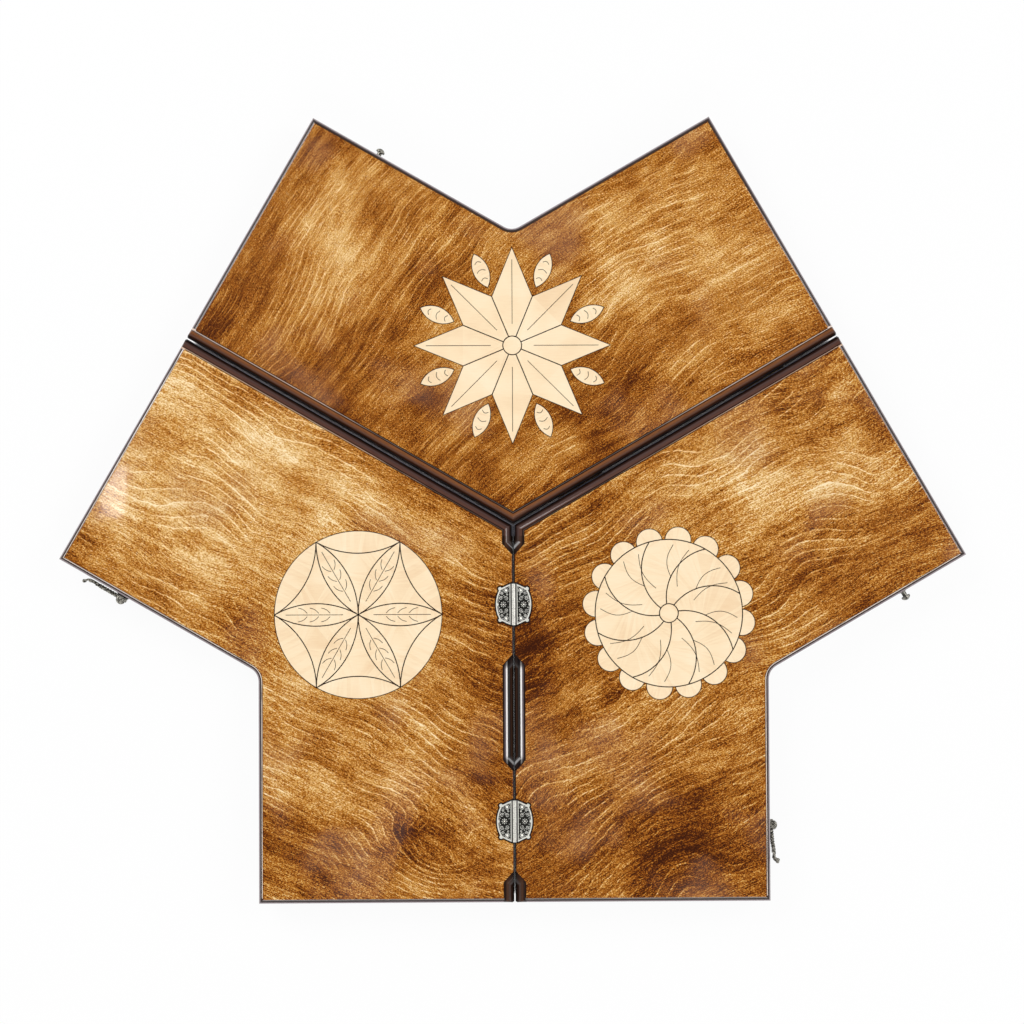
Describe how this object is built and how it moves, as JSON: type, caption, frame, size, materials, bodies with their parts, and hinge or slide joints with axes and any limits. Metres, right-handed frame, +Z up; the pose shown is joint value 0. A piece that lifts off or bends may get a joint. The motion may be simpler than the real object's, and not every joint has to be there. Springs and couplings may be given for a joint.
{
  "type": "three-player backgammon set",
  "caption": "Folding game board for three players: hinged chevron trays with an inlaid playing field, routed moulding, ornate hinges and hook latches",
  "frame": {"origin": "under the middle of the whole set's box, on the surface that it stands on", "axes": "+Z up; the front arm runs along -Y from the junction, and the seam between the left and right trays lies in the YZ plane"},
  "size_m": [0.7154, 0.6196, 0.0392],
  "materials": {
    "veneer": "stained birch veneer, high gloss lacquer",
    "stained_wood": "dark stained, gloss lacquer",
    "inlay": "pale unstained veneer, gloss lacquer",
    "field": "stained veneer, satin lacquer",
    "light_point": "pale veneer, satin lacquer",
    "dark_point": "dark veneer, satin lacquer",
    "hinge_metal": "antique nickel, blackened in the relief",
    "rim_hinge_metal": "satin",
    "hook_metal": "antique bronze",
    "steel": "bright"
  },
  "bodies": {
    "right_tray": {"right_tray_panel": "veneer", "right_tray_motif": "inlay", "right_tray_field": "field", "right_tray_light_points": "light_point", "right_tray_dark_points": "dark_point", "right_tray_side_wall": "stained_wood", "right_tray_end_wall_front": "stained_wood", "right_tray_seam_wall_front": "stained_wood", "right_tray_end_wall_right": "stained_wood", "right_tray_seam_wall_right": "stained_wood", "face_hinge_inner_right_leaf": "hinge_metal", "rim_hinge_inner_right_leaf": "rim_hinge_metal", "face_hinge_inner_pin": "steel", "rim_hinge_inner_pin": "steel", "face_hinge_outer_right_leaf": "hinge_metal", "rim_hinge_outer_right_leaf": "rim_hinge_metal", "face_hinge_outer_pin": "steel", "rim_hinge_outer_pin": "steel", "face_hinge_right_nails": "hinge_metal", "rim_hinge_right_screws": "steel", "right_latch_stud": "hook_metal", "right_hook_pivot": "hook_metal", "right_hook_plate": "hook_metal"},
    "left_tray": {"left_tray_panel": "veneer", "left_tray_motif": "inlay", "left_tray_field": "field", "left_tray_light_points": "light_point", "left_tray_dark_points": "dark_point", "left_tray_side_wall": "stained_wood", "left_tray_end_wall_left": "stained_wood", "left_tray_seam_wall_left": "stained_wood", "left_tray_end_wall_front": "stained_wood", "left_tray_seam_wall_front": "stained_wood", "face_hinge_inner_left_leaf": "hinge_metal", "face_hinge_outer_left_leaf": "hinge_metal", "face_hinge_left_nails": "hinge_metal", "left_hook_pivot": "hook_metal", "left_hook_plate": "hook_metal"},
    "rear_tray": {"rear_tray_panel": "veneer", "rear_tray_motif": "inlay", "rear_tray_field": "field", "rear_tray_light_points": "light_point", "rear_tray_dark_points": "dark_point", "rear_tray_side_wall": "stained_wood", "rear_tray_end_wall_right": "stained_wood", "rear_tray_seam_wall_right": "stained_wood", "rear_tray_end_wall_left": "stained_wood", "rear_tray_seam_wall_left": "stained_wood", "rim_hinge_inner_rear_leaf": "rim_hinge_metal", "rim_hinge_outer_rear_leaf": "rim_hinge_metal", "rim_hinge_rear_screws": "steel", "rear_latch_stud": "hook_metal"},
    "left_hook": {"left_hook": "hook_metal"},
    "right_hook": {"right_hook": "hook_metal"}
  },
  "joints": [
    {"name": "left_fold", "type": "hinge", "parent": "right_tray", "child": "left_tray", "pos_m": [0, -0.16079, 0.0375], "axis": [0, 1, 0], "range_deg": [0, 180]},
    {"name": "rear_fold", "type": "hinge", "parent": "right_tray", "child": "rear_tray", "pos_m": [0.12817, 0.06121, 0.0015], "axis": [-0.866, -0.5, 0], "range_deg": [0, 180]},
    {"name": "left_hook_turn", "type": "hinge", "parent": "left_tray", "child": "left_hook", "pos_m": [-0.30835, -0.06686, 0.025], "axis": [0.5, 0.866, 0], "range_deg": [-90, 90]},
    {"name": "right_hook_turn", "type": "hinge", "parent": "right_tray", "child": "right_hook", "pos_m": [0.201, -0.25279, 0.014], "axis": [1, 0, 0], "range_deg": [-52, 128]}
  ]
}
